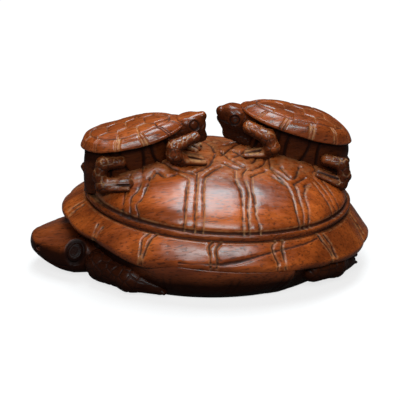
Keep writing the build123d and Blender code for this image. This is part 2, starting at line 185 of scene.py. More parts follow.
def nearest(points, lines):
    """Distance of each point to the nearest of several lines."""
    return np.min([line_distance(points, line) for line in lines], axis=0)


def mirrored(lines):
    """Lines of the left side, and the same lines on the right."""
    return lines + [line * np.array([1, -1, 1]) for line in lines]


def snap(line, verts):
    """Moves a line's points to the nearest points of a mesh."""
    return np.array([verts[np.argmin(((verts - p) ** 2).sum(1))] for p in line])


def normals_of(verts, quads):
    a, b, c, d = (verts[quads[:, i]] for i in range(4))
    n = np.cross(c - a, d - b)
    out = np.zeros_like(verts)
    for i in range(4):
        np.add.at(out, quads[:, i], n)
    return unit(out)


def raised(verts, normal, lift):
    """Points moved out along their normals."""
    return verts + normal * lift[:, None]


def ring_quads(ids):
    """Quads between rings of points, each row of ids a closed ring."""
    over, under = ids[:-1], ids[1:]
    return np.stack([over, under, np.roll(under, -1, 1), np.roll(over, -1, 1)], -1).reshape(-1, 4)


# Materials

def rgb(*screen):
    """A colour from 0-255 screen values."""
    shares = [value / 255 for value in screen]
    return (*[s / 12.92 if s <= 0.04045 else ((s + 0.055) / 1.055) ** 2.4 for s in shares], 1.0)


def grey(v):
    return (v, v, v, 1.0)


class Nodes:
    """Makes and links the shader nodes of a material or a world with little writing."""

    def __init__(self, owner, shader):
        owner.use_nodes = True
        self.owner, self.tree = owner, owner.node_tree
        self.shader = self.tree.nodes[shader]

    def feed(self, node, inputs):
        """Links outputs of other nodes to a node's inputs, and sets plain values on them."""
        for key, value in inputs.items():
            if isinstance(value, bpy.types.NodeSocket):
                self.tree.links.new(value, node.inputs[key])
            else:
                node.inputs[key].default_value = value

    def add(self, kind, inputs=None, **settings):
        node = self.tree.nodes.new("ShaderNode" + kind)
        for key, value in settings.items():
            setattr(node, key, value)
        self.feed(node, inputs or {})
        return node

    def ramp(self, factor, stops):
        node = self.add("ValToRGB", {"Fac": factor})
        while len(node.color_ramp.elements) < len(stops):
            node.color_ramp.elements.new(0.5)
        for element, (at, colour) in zip(node.color_ramp.elements, stops):
            element.position, element.color = at, colour
        return node.outputs["Color"]

    def mix(self, factor, a, b, blend="MIX"):
        return self.add("Mix", {0: factor, 6: a, 7: b}, data_type="RGBA", blend_type=blend).outputs[2]

    def maths(self, operation, a, b):
        return self.add("Math", {0: a, 1: b}, operation=operation).outputs[0]

    def noise(self, place, detail, scale=1.0, distortion=0.0):
        inputs = {"Vector": place, "Scale": scale, "Detail": detail, "Distortion": distortion}
        return self.add("TexNoise", inputs).outputs["Fac"]

    def stretched(self, place, along, across):
        return self.add("Mapping", {"Vector": place, "Scale": (along, across, across)}).outputs["Vector"]

    def mask(self, name):
        return self.add("Attribute", attribute_name=name).outputs["Fac"]

    def bump(self, height, strength, depth, **under):
        inputs = {"Height": height, "Strength": strength, "Distance": depth, **under}
        return self.add("Bump", inputs).outputs["Normal"]

    def seen(self):
        """1 for what the camera looks at, 0 for light on its way between things."""
        ray = self.add("LightPath").outputs
        return self.maths("MAXIMUM", ray["Is Camera Ray"], ray["Is Transmission Ray"])


# Dark wax in cuts; the dark of painted shade, with some dark wax; pale wear and painted highlight
WAX_IN_CUTS, SHADE_AND_WAX_TONE, PALE_WEAR_AND_HIGHLIGHT = rgb(42, 20, 12), rgb(30, 13, 8), rgb(204, 152, 100)
BLOTCHES = [(0.35, (0.80, 0.74, 0.72, 1)), (0.65, (1.08, 1.06, 1.0, 1))]
SHINE_TINT = (0.60, 0.90, 0.98, 1.0)


def wood(name, light, middle, dark, roughness, grain_lean=0.0):
    """Waxed hardwood: broad figure, pores along the grain, dark wax in cuts, painted shade with some dark wax
    where shade falls, pale worn edges and painted highlights.
    """
    n = Nodes(bpy.data.materials.new(name), "Principled BSDF")
    place = n.add("TexCoord").outputs["Object"]
    grain = n.add("Mapping", {"Vector": place, "Rotation": (0.0, 0.12, grain_lean)}).outputs["Vector"]
    figure = n.noise(n.stretched(grain, 45.0, 190.0), 4.0, distortion=0.6)
    streak = n.noise(n.stretched(grain, 130.0, 1500.0), 3.0)
    pores = n.ramp(n.noise(n.stretched(grain, 700.0, 3800.0), 1.0), [(0.34, grey(0.45)), (0.43, grey(1.0))])
    ripple = n.noise(n.stretched(grain, 300.0, 900.0), 2.0)
    chips = n.ramp(n.noise(place, 2.0, 1100.0), [(0.40, grey(0.15)), (0.58, grey(0.85))])
    cut, hollow, worn = n.mask("cut"), n.mask("hollow"), n.maths("MULTIPLY", n.mask("worn"), chips)
    touched = n.maths("MAXIMUM", cut, worn)
    # Painted shade also takes away the shine, so no highlight shows where shade is painted
    dull = n.maths("MAXIMUM", hollow, n.maths("MULTIPLY", touched, 0.8))

    colour = n.ramp(figure, [(0.30, dark), (0.50, middle), (0.72, light)])
    colour = n.mix(0.55, colour, n.ramp(streak, [(0.32, grey(0.36)), (0.66, grey(0.64))]), "OVERLAY")
    colour = n.mix(1.0, colour, pores, "MULTIPLY")
    colour = n.mix(1.0, colour, n.ramp(n.noise(place, 3.0, 95.0), BLOTCHES), "MULTIPLY")
    colour = n.mix(n.ramp(cut, [(0.30, grey(0.0)), (0.85, grey(0.85))]), colour, WAX_IN_CUTS)
    # Painted shade: darkens the colour where the mesh marks shade
    colour = n.mix(n.maths("MULTIPLY", hollow, 0.95), colour, SHADE_AND_WAX_TONE)
    # Pale edges: partly real wear, partly a painted highlight where a flank faces the light
    colour = n.mix(worn, colour, PALE_WEAR_AND_HIGHLIGHT)
    rough = n.ramp(streak, [(0.3, grey(roughness - 0.05)), (0.7, grey(roughness + 0.07))])
    n.feed(n.shader, {
        "Base Color": colour,
        "Roughness": n.mix(touched, rough, grey(0.62)),
        "Normal": n.bump(ripple, 0.07, 0.0002, Normal=n.bump(pores, 0.25, 0.00006)),
        "Specular IOR Level": n.ramp(dull, [(0.0, grey(0.68)), (1.0, grey(0.10))]),
        "Specular Tint": SHINE_TINT,
        "Coat Weight": n.ramp(dull, [(0.0, grey(0.10)), (0.7, grey(0.0))]),
        "Coat Roughness": 0.22,
    })
    return n.owner


SLOT_WOOD = {
    "shell_wood": wood("shell_wood", rgb(196, 100, 38), rgb(166, 79, 27), rgb(122, 55, 20), 0.26),
    "body_wood": wood("body_wood", rgb(164, 81, 32), rgb(136, 64, 24), rgb(102, 45, 18), 0.30, 0.3),
    "young_wood": wood("young_wood", rgb(178, 92, 36), rgb(148, 70, 26), rgb(108, 49, 19), 0.25, -0.2),
    "eye_inlay": wood("eye_wood", rgb(96, 62, 48), rgb(74, 46, 36), rgb(52, 32, 26), 0.26),
    "dowel_wood": wood("dowel_wood", rgb(206, 164, 116), rgb(188, 142, 94), rgb(160, 116, 74), 0.6),
}


def shade_turned_down(normal, most):
    """Painted shade where the surface turns away from above."""
    return most * fall(normal[:, 2], 0.55, 0.9)


def piece(name, verts, quads, slot, caps=(), **masks):
    """A finished piece from millimetre points, which stands for the solid of the same name."""
    mesh = bpy.data.meshes.new(name)
    mesh.from_pydata((np.asarray(verts) * MM).tolist(), [], np.asarray(quads).tolist() + list(caps))
    # The second mask is painted shade, with some dark wax; the third is pale wear and painted highlight
    for mask in ("cut", "hollow", "worn"):
        values = np.clip(np.asarray(masks.get(mask, np.zeros(len(verts)))), 0, 1)
        mesh.attributes.new(mask, "FLOAT", "POINT").data.foreach_set("value", values.astype(np.float32))
    mesh.polygons.foreach_set("use_smooth", np.ones(len(mesh.polygons), bool))
    mesh.update()
    made = bpy.data.objects.new("look_" + name, mesh)
    bpy.context.scene.collection.objects.link(made)
    mesh.materials.append(SLOT_WOOD[slot])
    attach(made, "root")
    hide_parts(name)


# Shells: a round grid for the dome, then rings down the skirt

def round_grid(n):
    """A square grid pushed into a disc: radius and angle of each point, its quads and its edge loop."""
    u, v = np.meshgrid(np.linspace(-1, 1, n + 1), np.linspace(-1, 1, n + 1), indexing="ij")
    wide = np.abs(u) > np.abs(v)
    r = np.where(wide, u, v)
    with np.errstate(divide="ignore", invalid="ignore"):
        angle = np.where(wide, math.pi / 4 * v / u, math.pi / 2 - math.pi / 4 * u / v)
    angle = np.nan_to_num(angle)
    ids = np.arange((n + 1) ** 2).reshape(n + 1, n + 1)
    quads = np.stack([ids[:-1, :-1], ids[1:, :-1], ids[1:, 1:], ids[:-1, 1:]], -1).reshape(-1, 4)
    loop = np.concatenate([ids[:-1, 0], ids[-1, :-1], ids[1:, -1][::-1], ids[0, 1:][::-1]])
    angle = np.where(r < 0, angle + math.pi, angle)
    return np.abs(r).ravel(), angle.ravel(), quads, loop


def run_along(points):
    """Length of a line up to each of its points."""
    return np.concatenate([[0], np.cumsum(np.linalg.norm(np.diff(points, axis=0), axis=1))])


def shell_grid(dome, skirt, ratio, n, rim_ratio=None):
    """A shell whose half section runs down dome and then down skirt.

    Gives points, normals and quads, each point's run down the section, and the last ring.
    """
    rim_ratio = rim_ratio or ratio
    dome_run, skirt_run = run_along(dome), run_along(skirt)
    r, angle, quads, loop = round_grid(n)
    run = r * dome_run[-1]
    radius, height = (np.interp(run, dome_run, dome[:, i]) for i in (0, 1))
    rings = len(skirt) - 1
    ring_ids = len(r) + np.arange(rings * len(loop)).reshape(rings, len(loop))
    radius = np.concatenate([radius, np.repeat(skirt[1:, 0], len(loop))])
    height = np.concatenate([height, np.repeat(skirt[1:, 1], len(loop))])
    run = np.concatenate([run, np.repeat(dome_run[-1] + skirt_run[1:], len(loop))])
    angle = np.concatenate([angle, np.tile(angle[loop], rings)])
    edge = dome[:, 0].max()
    wide = ratio + rise(radius, edge, max(skirt[:, 0].max() - edge, 1e-6)) * (rim_ratio - ratio)
    verts = np.stack([radius * np.cos(angle), wide * radius * np.sin(angle), height], -1)
    quads = np.vstack([quads, ring_quads(np.vstack([loop, ring_ids]))])
    return verts, normals_of(verts, quads), quads, run, ring_ids[-1]


def even(points, step):
    """The same half section with evenly spaced points."""
    points = np.asarray(points, float)
    run = run_along(points)
    at = np.linspace(0, run[-1], max(int(run[-1] / step), 2) + 1)
    return np.stack([np.interp(at, run, points[:, 0]), np.interp(at, run, points[:, 1])], -1)


def arc(cx, cy, r, start, end, count=24):
    a = np.radians(np.linspace(start, end, count))
    return np.stack([cx + r * np.cos(a), cy + r * np.sin(a)], -1)


# Big turtle's upper shell. Lines are cut on its left side and repeated on its right.
COSTAL_SEAMS = [
    [(-15.6, -6.8), (-16.4, -9.2), (-16.6, -10.8), (-16.8, -12.2)],
    [(-13.7, -5.9), (-14.1, -10.1), (-15.4, -11.4), (-15.5, -12.6), (-15.4, -13.3)],
    [(-12.4, -8), (-12.9, -10.4), (-13.6, -12.4), (-14.5, -12.9), (-14, -14.2)],
    [(-7.7, -7.6), (-5.9, -9.4), (-6, -11.9), (-6.1, -14.6), (-6.1, -16.5), (-6.1, -17.4)],
    [(-4.3, -7.1), (-4.3, -10.7), (-4.4, -14.1), (-4.3, -16.7), (-4.3, -17.8)],
    [(-2.9, -8.5), (-3.2, -11), (-3.1, -14.1), (-2.9, -16.3), (-2.9, -17.9)],
    [(2.3, -6), (2.5, -9.3), (3.3, -11.2), (3.7, -13.5), (4, -17.1)],
    [(4.4, -4.8), (3.7, -6.9), (4.3, -9.7), (4.8, -12.1), (4.7, -14.9), (5.1, -17.2)],
    [(5.2, -6.9), (5.4, -10.8), (5.9, -13), (6.2, -15.7), (6.9, -16.9)],
    [(8.2, 0.1), (9.1, -4.2), (11.1, -6.9), (12.3, -9.4), (13.2, -12.5), (13.9, -14.1)],
    [(12.8, -6.4), (13.3, -7.8), (13.8, -10.1), (14.6, -12.2), (14.8, -13.6)],
    [(15.7, -4.6), (14.7, -7.8), (14.9, -9.5), (15.5, -11.2), (15.7, -13)],
    [(16.2, -3.5), (17.5, -5.3), (18.9, -7.1), (20, -8.6)],
    [(16.4, -1.9), (18.3, -4.1), (19.4, -5.6), (20.2, -7), (20.9, -7.3)],
    [(16.2, 0.8), (17.9, -1.3), (20, -4.2), (21, -5.9), (21.4, -6.3)],
]
VERTEBRAL_SEAMS = [
    [(-10.9, -4.7), (-8.2, -6.3), (-4.8, -7.8)],
    [(-12, -8.1), (-11.2, -7.1), (-9.6, -8.3), (-7.7, -7.6)],
    [(-4.5, -7.1), (-2.9, -5.7), (-1.9, -3.9), (-1.2, -0.3)],
    [(-2.9, -8.5), (-1.5, -6.6), (0.1, -5)],
    [(2.1, 0.9), (4.4, -1)],
    [(-0.1, 0.8), (1.2, -1.5), (2.6, -3.1), (3.9, -4.2)],
    [(0.5, -3.9), (1.5, -4.8), (2.8, -5.2)],
    [(5.3, -2.3), (6.6, 0.2)],
    [(5.3, -4.9), (6.9, -2.9), (7.6, -1.4), (7.5, -0.3)],
    [(5.2, -6.9), (6.6, -5.5), (7.7, -4.4)],
    [(8.7, -2.9), (10.6, -4.6), (11.8, -5.6)],
    [(10.5, -2), (12.4, -4.7), (13.3, -3.5), (13.8, -0.8)],
    [(8.8, -5.7), (11.1, -7.2)],
    [(12.9, -6.3), (13.8, -4.8), (14.9, -3.1)],
    [(14.8, -6.1), (15.3, -4.8)],
]
SKIRT_SEAMS = [
    [(-21.0, -11.2, -2.0), (-21.2, -11.9, -3.4), (-21.3, -12.4, -5.0)],
    [(-20.1, -12.3, -2.2), (-20.5, -12.5, -3.6), (-20.9, -12.9, -5.0)],
    [(-12.0, -16.4, -0.9), (-13.0, -16.6, -2.1), (-13.0, -17.3, -3.7), (-13.2, -17.9, -5.2)],
    [(-10.6, -16.8, -0.8), (-11.6, -17.1, -1.9), (-12.3, -17.7, -3.9), (-12.9, -18.2, -5.3)],
    [(-0.9, -18.7, -0.8), (-1.5, -19.0, -1.6), (-1.1, -19.6, -3.4), (-0.9, -20.4, -5.0)],
    [(0.7, -18.7, -0.8), (-0.2, -19.2, -2.0), (0.1, -19.8, -3.8), (0.1, -20.4, -5.0)],
    [(10.0, -17.0, -0.8), (9.4, -17.5, -1.7), (9.9, -18.0, -2.8), (10.6, -18.4, -4.0), (10.7, -18.9, -5.2)],
    [(11.4, -16.6, -0.8), (11.2, -17.2, -2.0), (11.5, -17.6, -3.2), (12.2, -18.1, -5.2)],
    [(17.8, -12.9, -0.8), (18.4, -13.0, -1.8), (20.1, -12.9, -3.8), (20.6, -13.5, -5.2)],
    [(18.7, -12.2, -0.8), (19.9, -12.1, -2.4), (21.0, -12.4, -4.5)],
    [(24.0, -3.6, -0.9), (25.2, -3.9, -2.8), (26.6, -4.3, -5.0)],
    [(24.1, -2.6, -0.9), (25.4, -2.7, -2.8), (26.8, -2.8, -5.0)],
    [(-24.0, -4.8, -0.9), (-25.2, -5.0, -2.8), (-26.2, -5.3, -5.0)],
    [(-24.2, -3.7, -0.9), (-25.4, -3.8, -2.8), (-26.5, -4.0, -5.0)],
]
CRACK = [(-6.3, -19.6, -4.6), (-0.1, -20.2, -4.4), (2.2, -19.9, -3.9), (4.3, -19.6, -3.6), (9.4, -18.0, -2.3),
         (14.9, -15.5, -1.6), (17.6, -13.4, -1.3)]

shell_at = shift(SHIFT, 0, BEAD_HEIGHT) @ turn("y", TILT)


def dome_height(x, y, top=1.0):
    """Height of the big dome over points seen from above; a lower top gives a smaller dome inside it."""
    return DOME_H * np.sqrt(np.maximum(top - (x / DOME_A) ** 2 - (y / DOME_B) ** 2, 0))


def dome_line(points, to_bead=False):
    """A smooth line on the dome through points seen from above."""
    p = np.array(points, float)
    if to_bead:
        foot = p[-1] / np.hypot(p[-1, 0] / DOME_A, p[-1, 1] / DOME_B)
        p = np.vstack([p, 0.999 * foot])
    return curve(np.column_stack([p, dome_height(p[:, 0], p[:, 1])]))


def flank_share(x):
    """1 along the middle of the flanks, where skirt and belly run into each other, 0 at the two ends."""
    return ease(rise(x, -15, 6) * fall(x, 18, 5))


def mother_section():
    """Half sections of the big shell: its dome, then its bead, flank, lip and underside."""
    lean = np.linspace(0, math.acos(BEAD / DOME_H) * 0.985, 400)
    dome = np.stack([DOME_A * np.sin(lean), DOME_H * np.cos(lean)], -1)
    bead = np.vstack([dome[-1:], [(DOME_A - 0.02, BEAD)], arc(DOME_A, 0, BEAD, 88, -88),
                      [(DOME_A + 0.1, -BEAD)]])
    t = np.linspace(0, 1, 40)[1:]
    flank = np.stack([DOME_A + 0.1 + (FLARE_ENDS - 0.1) * t, -BEAD - (DROP - LIP - BEAD) * t], -1)
    flank += FLANK_BULGE * np.sin(math.pi * t)[:, None] * unit(np.array([[DROP - LIP, FLARE_ENDS]]))
    lip = arc(RIM_A - LIP, -DROP + LIP, LIP, 0, -90)
    under = [(RIM_A - inward, -DROP) for inward in (2.2, 3.4, 6.0)]
    return dome, np.vstack([even(bead, 0.14), even(np.vstack([bead[-1:], flank]), 0.26)[1:],
                            even(lip, 0.24)[1:], under])


def square_lip(verts):
    """Squares off the round lip along the flanks, in place: how far, and each point's radius before."""
    radius = np.hypot(verts[:, 0], verts[:, 1] * RIM_A / RIM_B)
    in_lip = (verts[:, 2] < -DROP + LIP + 1e-6) & (radius > RIM_A - LIP - 1e-6)
    bend = np.arctan2(-(verts[:, 2] + DROP - LIP), radius - RIM_A + LIP) / (math.pi / 2)
    square = np.where(in_lip, flank_share(verts[:, 0]), 0)
    verts[:, :2] *= (1 + square * (RIM_A / np.maximum(radius, 1) - 1))[:, None]
    verts[:, 2] += square * (-DROP + LIP * (1 - bend) - verts[:, 2])
    return square, radius


def mother_shell(young):
    """The big shell: plates, bead, scalloped skirt with a crack, and a low mound under each young turtle."""
    dome, skirt = mother_section()
    verts, normal, quads, run, last = shell_grid(dome, skirt, DOME_B / DOME_A, DOME_CELLS, RIM_B / RIM_A)
    square, radius = square_lip(verts)
    x, y, z = verts.T
    on_dome = z > BEAD * 0.6
    on_skirt = (z < -BEAD * 0.6) & (z > -DROP + 0.2)
    down = rise(-z, BEAD, DROP - BEAD)

    # Plates of the dome, with cut lines between them and a pale edge on one side of each cut: partly wear,
    # partly a painted highlight of the flank that faces the light
    costal = [dome_line(line, True) for line in COSTAL_SEAMS]
    vertebral = [dome_line(line) for line in VERTEBRAL_SEAMS]
    wobble = smooth_random(5, 1.1)(verts) * 0.09
    long_lines, short_lines = nearest(verts, mirrored(costal)), nearest(verts, mirrored(vertebral))
    to_long, to_short = long_lines + wobble, short_lines + wobble
    bands = nearest(verts, mirrored(costal[1::3]))
    pillow = 0.08 * np.tanh(np.minimum(np.minimum(long_lines, short_lines), 6))
    lift = np.where(on_dome, pillow, 0.08) - 0.05 * groove(bands, 1.1)
    stain = np.maximum(groove(to_long, LONG_CUT_STAIN), groove(to_short, SHORT_CUT_STAIN))
    fine = np.where(on_dome, stain, 0)
    depth = LONG_CUT * groove(to_long, LONG_CUT_WIDTH) + SHORT_CUT * groove(to_short, SHORT_CUT_WIDTH)
    lift -= np.where(on_dome, depth, 0)
    lit_flank_lines = nearest(verts, mirrored([line + (0.27, 0, 0) for line in costal + vertebral]))
    worn = np.where(on_dome, groove(lit_flank_lines, 0.12), 0) * (1 - fine)

    # Troughs above and below the bead, seams of the skirt and a crack along its near side
    dome_foot = run_along(dome)[-1]
    above, below = dome_foot + 0.08, dome_foot + 0.35 + math.pi * BEAD
    troughs = groove(run - above + 0.06, 0.36) + groove(run - below - 0.04, 0.32)
    lift -= TROUGH * troughs
    near_side = verts[on_skirt & (y < 1)]
    skirt_lines = mirrored([curve(snap(np.array(line), near_side)) for line in SKIRT_SEAMS])
    seams = nearest(verts, skirt_lines)
    skirt_cut = np.where(on_skirt, groove(seams + wobble, SKIRT_CUT_WIDTH), 0)
    lift -= SKIRT_CUT * skirt_cut
    gape = groove(x - 3, 3.5)
    split = line_distance(verts, curve(snap(np.array(CRACK), near_side)))
    crack = np.where(on_skirt, groove(split, 0.17 + 0.16 * gape), 0)
    lift -= (0.18 + 0.25 * gape) * crack

    # The skirt swells between its pairs of seams, most at the two ends
    here = np.degrees(np.arctan2(y / DOME_B, x / DOME_A))
    seam_ends = [line[-1] for line in skirt_lines[::2]]
    seam_angles = [round(math.degrees(math.atan2(p[1] / DOME_B, p[0] / DOME_A)), 1) for p in seam_ends]
    gap = np.min([angle_gap(here, angle) for angle in seam_angles], axis=0)
    scallop = 0.45 * np.tanh(gap / 5) - 0.25
    ends = np.abs(np.cos(np.radians(here)))
    lift += down**1.5 * scallop * (0.15 + 1.05 * ends**2) * (1 - square)
    lift += 0.06 * smooth_random(11, 7)(verts) + 0.009 * smooth_random(12, 1.8)(verts)
    out = raised(verts, normal, lift)
    # The rim hangs lower in a lobe over each foreleg and at the tail end
    outer = rise(radius, RIM_A - 2.0, 1.2) * down**2
    out[:, 2] -= FORELEG_LOBE * groove(x + 13, 4.5) * outer + TAIL_LOBE * rise(x, 14, 9) * down
    # The bead runs a little lower at the head end than the rim does
    out[:, 2] += 0.03 * x * ease(np.where(z > 0, fall(z, 5, 5), rise(z, -4.2, 4.2)))

    # Painted shade: tail end and underside, around the bead, head end and low on the skirt; also darker
    # beside cuts and in random blotches that grow towards the bottom
    hollow = 0.35 * rise(x, 12, 12) * (z < 0) + 0.9 * (z < -DROP + 0.05)
    darker_beside_lines = 0.28 * groove(short_lines, 1.2) + 0.25 * groove(long_lines, 0.6)
    hollow += on_dome * darker_beside_lines * np.clip(0.7 + 0.8 * smooth_random(14, 3)(verts), 0.1, 1)
    hollow += 0.35 * groove(run - (above + below) / 2, 0.8) + on_dome * 0.30 * groove(run - above, 1.6)
    hollow += 0.22 * rise(-x, 16, 6) * (z < 0)
    hollow += 0.55 * rise(down, 0.78, 0.2) * (z < 0)
    hollow += 0.3 * rise(smooth_random(15, 5)(verts), 0.1, 1) * down
    # The crest and the ground around the young are rough from the knife.
    # Each young turtle stands on a mound, with painted shade around its foot.
    carved = rise(z, 6.5, 0.7)
    for one in young:
        reach = one.footprint(verts)
        hollow = np.maximum(hollow, 0.75 * fall(reach, 1.28, 0.3) * on_dome)
        carved = np.maximum(carved, fall(reach, 1.9, 0.4) * on_dome)
        out[:, 2] += one.mound * ease(fall(reach, 1.75, 0.85)) * rise(z, BEAD, 2)
    out = raised(out, normal, 0.014 * smooth_random(16, 0.9)(verts) * carved)
    bead_edges = groove(run - above + 0.52, 0.12) + groove(run - below - 0.46, 0.12)
    seam_edges = np.where(on_skirt, groove(seams - 0.27, 0.10), 0)
    piece("mother_carapace", put(shell_at, out), quads, "shell_wood", [tuple(last[::-1])], hollow=hollow,
          cut=np.maximum.reduce([fine, np.clip(troughs, 0, 1), skirt_cut, crack * 1.3]),
          worn=np.maximum.reduce([worn, 0.22 * carved * (1 - fine), 0.6 * bead_edges, 0.5 * seam_edges]))


def belly():
    """The belly block: rings from the rest face up to the seat under the shell."""
    columns, rows = 460, 60
    angle = np.linspace(0, 2 * math.pi, columns, endpoint=False)
    flank = flank_share(RIM_A * np.cos(angle))
    top_a = BELLY_TOP_A + flank * (RIM_A - OVERLAP - BELLY_TOP_A)
    top_b = BELLY_TOP_B + flank * (RIM_B - OVERLAP - BELLY_TOP_B)
    verts = []
    for row in range(rows + 1):
        up = (row / rows) ** 1.3
        part = 1 - (1 - 0.94 * up) ** 2
        reach = part + (1 - part) * rise(up, 0.6, 0.4) ** 2
        px = (BELLY_A + reach * (top_a - BELLY_A)) * np.cos(angle) + 0.5 * flank * up
        py = (BELLY_B + reach * (top_b - BELLY_B)) * np.sin(angle)
        seat = BEAD_HEIGHT - DROP - (px - SHIFT) * math.sin(math.radians(TILT))
        verts.append(np.stack([px, py, up * (seat + OVERLAP)], -1))
    verts = np.vstack(verts)
    ids = np.arange(columns * (rows + 1)).reshape(rows + 1, columns)
    quads = ring_quads(ids)[:, [0, 3, 2, 1]]
    normal = normals_of(verts, quads)
    x, y, z = verts.T
    # Pairs of upright cuts on each flank, measured as arcs of its mean radius
    flank_radius, half_pair = 18, 1.4
    here = np.degrees(np.arctan2(y / BELLY_B, x / BELLY_A))
    cut = np.zeros(len(verts))
    for at in (62, 82, 108, 128):
        for way in (1, -1):
            for off in (-half_pair, half_pair):
                d = np.abs(way * here - at - off - 0.7 * np.sin(z * 0.8)) * math.pi / 180 * flank_radius
                cut = np.maximum(cut, groove(d, 0.22) * rise(z, 1.5, 1) * fall(z, 6.5, 1))
    lift = 0.09 * smooth_random(21, 6)(verts) + 0.03 * smooth_random(22, 1.6)(verts) - 0.14 * cut
    lift *= rise(z, 0, 0.6) * np.maximum(fall(z, 8.5, 2), 0.15)
    out = raised(verts, normal, lift)
    out[:, :2] -= verts[:, :2] * (0.018 * groove(z, 0.5))[:, None]
    out[:, 2] = np.maximum(out[:, 2], 0)
    # Painted shade: darker towards the bottom, and at both ends where the rim hangs over
    piece("mother_plastron", out, quads, "body_wood", [tuple(ids[0][::-1]), tuple(ids[-1])],
          cut=0.6 * cut, hollow=np.maximum(fall(z, 7.8, 3.6) ** 1.1, 1 - flank_share(x)))


# Carved forms: distances on a grid, joined softly, then meshed

class Clay:
    def __init__(self, low, high, step):
        self.low, self.step = np.asarray(low, float), step
        axes = [np.arange(a, b + step, step) for a, b in zip(low, high)]
        self.p = np.stack(np.meshgrid(*axes, indexing="ij"), -1).astype(np.float32)
        self.d = np.full(self.p.shape[:3], 50.0, np.float32)

    def oval(self, centre, radii):
        q = self.p - np.asarray(centre, np.float32)
        near, far = np.linalg.norm(q / radii, axis=-1), np.linalg.norm(q / np.square(radii), axis=-1)
        return near * (near - 1) / np.maximum(far, 1e-6)

    def limb(self, a, b, ra, rb):
        a, b = np.asarray(a, np.float32), np.asarray(b, np.float32)
        ab = b - a
        t = np.clip((self.p - a) @ ab / max(float(ab @ ab), 1e-9), 0, 1)
        return np.linalg.norm(self.p - a - t[..., None] * ab, axis=-1) - (ra + t * (rb - ra))

    def add(self, d, soft):
        h = np.clip(0.5 + 0.5 * (self.d - d) / soft, 0, 1)
        self.d = self.d * (1 - h) + d * h - soft * h * (1 - h)

    def cut(self, d, soft):
        h = np.clip(0.5 - 0.5 * (self.d + d) / soft, 0, 1)
        self.d = self.d * (1 - h) - d * h + soft * h * (1 - h)

    def chain(self, points, radii, soft):
        """Limbs from each point to the next."""
        for a, b, ra, rb in zip(points[:-1], points[1:], radii[:-1], radii[1:]):
            self.add(self.limb(a, b, ra, rb), soft)

    def mesh(self):
        """Points, quads facing outwards, and normals."""
        reach = 3 * self.step
        grid = openvdb.FloatGrid(reach)
        grid.copyFromArray(np.clip(self.d, -reach, reach))
        points, quads = grid.convertToQuads()
        verts = self.low + np.asarray(points, float) * self.step
        quads = np.asarray(quads)
        normal = normals_of(verts, quads)
        middle = self.low + np.array(self.d.shape) * self.step / 2
        if np.einsum("ij,ij->i", verts - middle, normal).mean() < 0:
            quads, normal = quads[:, ::-1], -normal
        return verts, quads, normal


def scales(verts, seed, size, where):
    """Net of scale cuts: 1 on the lines between scales, where the mask allows."""
    rng = np.random.default_rng(seed)
    open_to = np.flatnonzero(where > 0.3)
    spots = verts[rng.choice(open_to, 2500)]
    free, centres = np.ones(len(spots), bool), []
    while free.any():
        centres.append(spots[np.argmax(free)])
        free &= np.linalg.norm(spots - centres[-1], axis=1) > size
    centres = np.array(centres)
    out = np.zeros(len(verts))
    use = np.flatnonzero(where > 0.02)
    for block in np.array_split(use, max(len(use) // 4000, 1)):
        d = np.sort(np.linalg.norm(verts[block][:, None] - centres[None], axis=2), axis=1)
        out[block] = groove(d[:, 1] - d[:, 0], 0.22 * size) * where[block]
    return out


def eye_axes(outward):
    """Two directions across an eye: along the head and upwards."""
    side = unit(np.cross(outward, [0.3, 0.1, 1.0]))
    return side, np.cross(outward, side)


def eye(node, inside, radius, bulge, roundness, dull, tall=1.0, ahead=0.0):
    """An eye where its solid is, facing away from a point inside the head, with a ring around its pupil.

    A low roundness makes a ball, a high one a flat disc. Gives the middle of its base, and outward.
    """
    co = np.array([v.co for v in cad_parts[node].data.vertices], float) * METRE
    middle = (co.min(0) + co.max(0)) / 2
    outward = np.linalg.eigh(np.cov((co - co.mean(0)).T))[1][:, 0]
    if outward @ (middle - inside) < 0:
        outward = -outward
    top = ((co - middle) @ outward).max()
    base = middle + outward * (top - bulge) - np.array([ahead, 0, 0])
    columns, pupil = 64, 0.62
    t = np.linspace(0, 1, 34)
    height = bulge * (1 - t**roundness) - 0.03 * radius * groove(t - pupil, 0.07)
    profile = np.vstack([np.stack([t * radius, height], -1), [(radius, -0.4 * radius)]])
    side, upward = eye_axes(outward)
    a = np.linspace(0, 2 * math.pi, columns, endpoint=False)
    rings = [base + outward * h + r * (np.cos(a)[:, None] * side + tall * np.sin(a)[:, None] * upward)
             for r, h in profile[1:]]
    verts = np.vstack(rings + [[base + outward * profile[0, 1]]])
    ids = np.arange(columns * len(rings)).reshape(len(rings), columns)
    first, tip = ids[0].tolist(), len(verts) - 1
    caps = [(tip, b, a) for a, b in zip(first, first[1:] + first[:1])] + [tuple(ids[-1].tolist())]
    ring = np.repeat(0.5 * groove(profile[1:, 0] / radius - pupil, 0.08), columns)
    piece(node, verts, ring_quads(ids), "eye_inlay", caps, cut=np.append(ring, 0),
          hollow=np.full(len(verts), dull))
    return base, outward


def from_eye(verts, centre, outward, tall=1.0):
    """Distance of each point from an eye's axis, FAR for points on the other side of the head."""
    q = verts - centre
    side, upward = eye_axes(outward)
    return np.where(np.abs(q @ outward) < 1.5, np.hypot(q @ side, q @ upward / tall), FAR)


